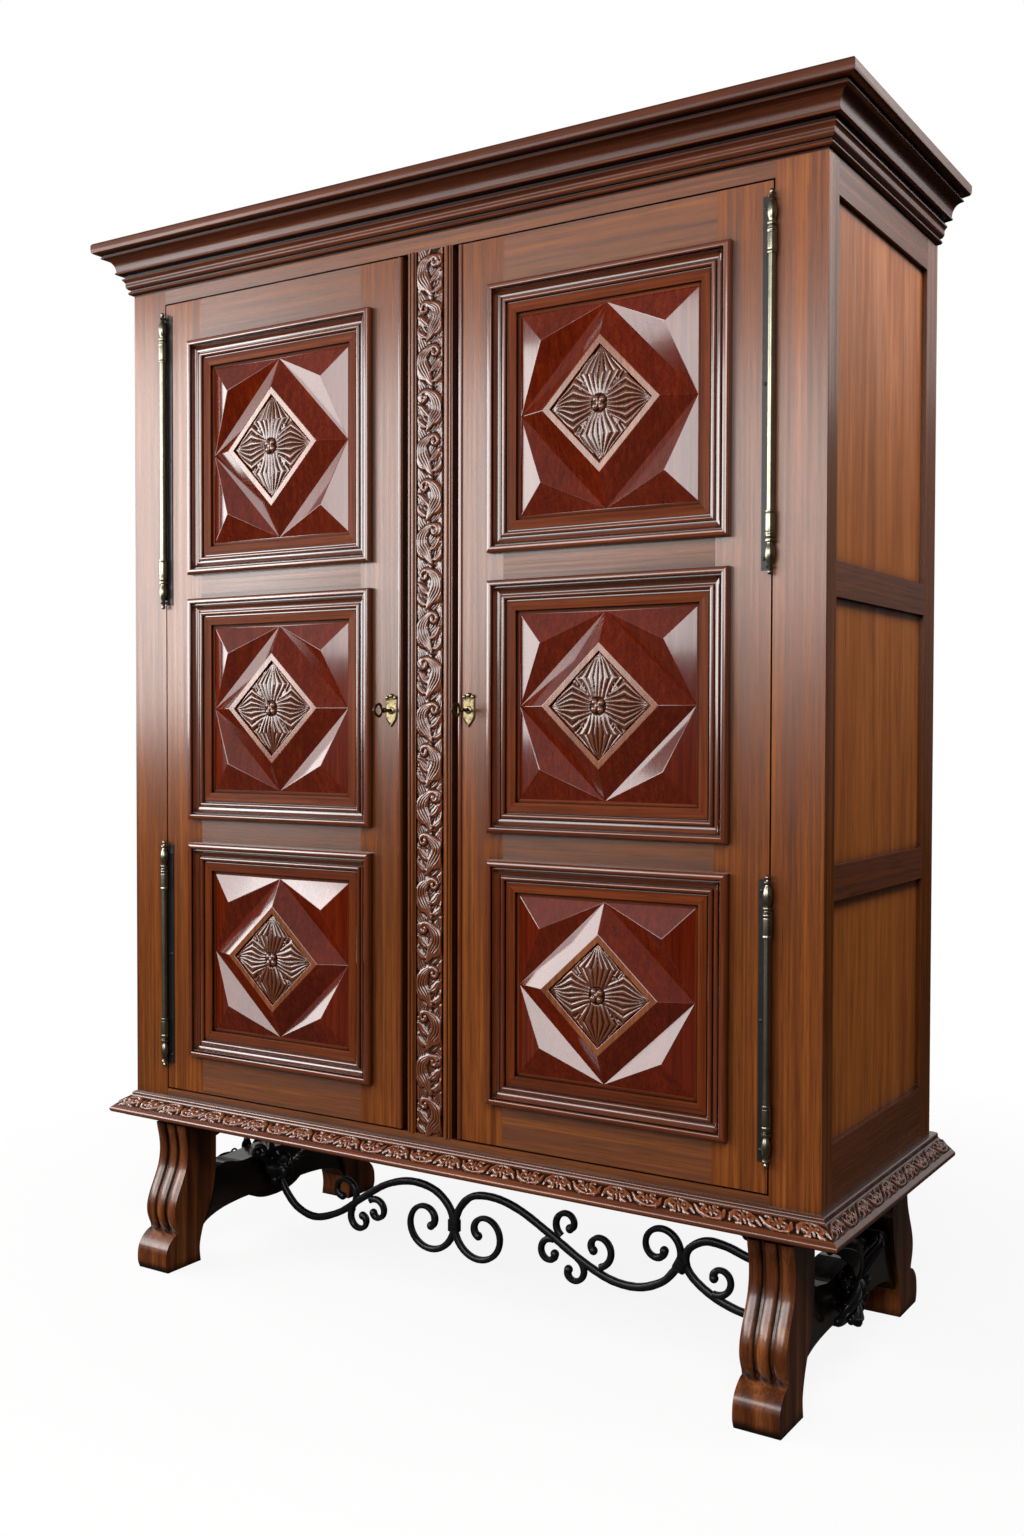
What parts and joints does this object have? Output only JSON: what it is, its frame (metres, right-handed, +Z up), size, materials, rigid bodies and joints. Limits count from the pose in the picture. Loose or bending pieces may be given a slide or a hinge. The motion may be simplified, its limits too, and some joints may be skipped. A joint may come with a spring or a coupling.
{
  "type": "two-door armoire on a trestle stand",
  "caption": "Tall two-door wooden armoire with faceted door panels in heavy mouldings and a carved centre strip, on shaped trestle legs tied by a scrolled wrought-iron stretcher.",
  "frame": {"origin": "on the floor, under the middle of the box round the whole object", "axes": "+Z up, the doors face -Y, +X towards the door whose hinge is on the right seen from the front"},
  "size_m": [1.624, 0.705, 2.1],
  "materials": {
    "frame_wood": "dark walnut-brown wood with a waxed satin sheen",
    "side_panel_wood": "orange-brown wood with vertical grain, satin",
    "cornice_wood": "dark red-brown wood, satin",
    "panel_wood": "deep red mahogany colour, glossy",
    "carved_wood": "carved red-brown wood, waxed",
    "inner_wood": "plain unfinished wood",
    "wrought_iron": "black forged iron, satin",
    "hinge_brass": "pale polished brass",
    "old_brass": "darkened old brass",
    "lock_steel": "plain steel"
  },
  "bodies": {
    "case": {"left_front_post": "frame_wood", "right_front_post": "frame_wood", "left_rear_post": "frame_wood", "right_rear_post": "frame_wood", "centre_post": "frame_wood", "centre_carving": "carved_wood", "front_top_rail": "frame_wood", "front_bottom_rail": "frame_wood", "left_side_rails": "frame_wood", "right_side_rails": "frame_wood", "left_side_panels": "side_panel_wood", "right_side_panels": "side_panel_wood", "back_rails": "inner_wood", "back_boards": "inner_wood", "bottom_board": "inner_wood", "top_board": "inner_wood", "cornice_front": "cornice_wood", "cornice_left": "cornice_wood", "cornice_right": "cornice_wood", "shelves": "inner_wood", "shelf_cleats": "inner_wood", "base_front": "carved_wood", "base_left": "carved_wood", "base_right": "carved_wood", "base_rear": "frame_wood", "left_bearer": "frame_wood", "right_bearer": "frame_wood", "left_front_leg": "frame_wood", "right_front_leg": "frame_wood", "left_rear_leg": "frame_wood", "right_rear_leg": "frame_wood", "left_trestle_rail": "cornice_wood", "right_trestle_rail": "cornice_wood", "iron_stretcher": "wrought_iron", "iron_bosses": "wrought_iron", "hinge_rods": "hinge_brass", "lock_keepers": "lock_steel"},
    "left_door": {"left_hinge_stile": "frame_wood", "left_lock_stile": "frame_wood", "left_door_rails": "frame_wood", "left_door_mouldings": "frame_wood", "left_door_panels": "panel_wood", "left_rosettes": "carved_wood", "left_lock_case": "lock_steel", "left_escutcheon": "old_brass", "left_hinge_knuckles": "hinge_brass"},
    "left_key": {"left_key": "old_brass"},
    "left_bolt": {"left_bolt": "lock_steel"},
    "right_door": {"right_hinge_stile": "frame_wood", "right_lock_stile": "frame_wood", "right_door_rails": "frame_wood", "right_door_mouldings": "frame_wood", "right_door_panels": "panel_wood", "right_rosettes": "carved_wood", "right_lock_case": "lock_steel", "right_escutcheon": "old_brass", "right_hinge_knuckles": "hinge_brass"},
    "right_key": {"right_key": "old_brass"},
    "right_bolt": {"right_bolt": "lock_steel"}
  },
  "joints": [
    {"name": "left_door_hinge", "type": "hinge", "parent": "case", "child": "left_door", "pos_m": [-0.6605, -0.2995, 0.8], "axis": [0, 0, -1], "range_deg": [0, 110]},
    {"name": "left_key_turn", "type": "hinge", "parent": "left_door", "child": "left_key", "pos_m": [-0.086, -0.2905, 1.141], "axis": [0, -1, 0], "range_deg": [0, 90]},
    {"name": "left_bolt_slide", "type": "slide", "parent": "left_door", "child": "left_bolt", "axis": [1, 0, 0], "range_m": [0, 0.016]},
    {"name": "right_door_hinge", "type": "hinge", "parent": "case", "child": "right_door", "pos_m": [0.6605, -0.2995, 0.8], "axis": [0, 0, 1], "range_deg": [0, 110]},
    {"name": "right_key_turn", "type": "hinge", "parent": "right_door", "child": "right_key", "pos_m": [0.086, -0.2905, 1.141], "axis": [0, 1, 0], "range_deg": [0, 90]},
    {"name": "right_bolt_slide", "type": "slide", "parent": "right_door", "child": "right_bolt", "axis": [-1, 0, 0], "range_m": [0, 0.016]}
  ],
  "couplings": [
    {"joint": "left_key_turn", "follows": "left_bolt_slide", "rad_per_m": 98.17},
    {"joint": "right_key_turn", "follows": "right_bolt_slide", "rad_per_m": 98.17}
  ]
}
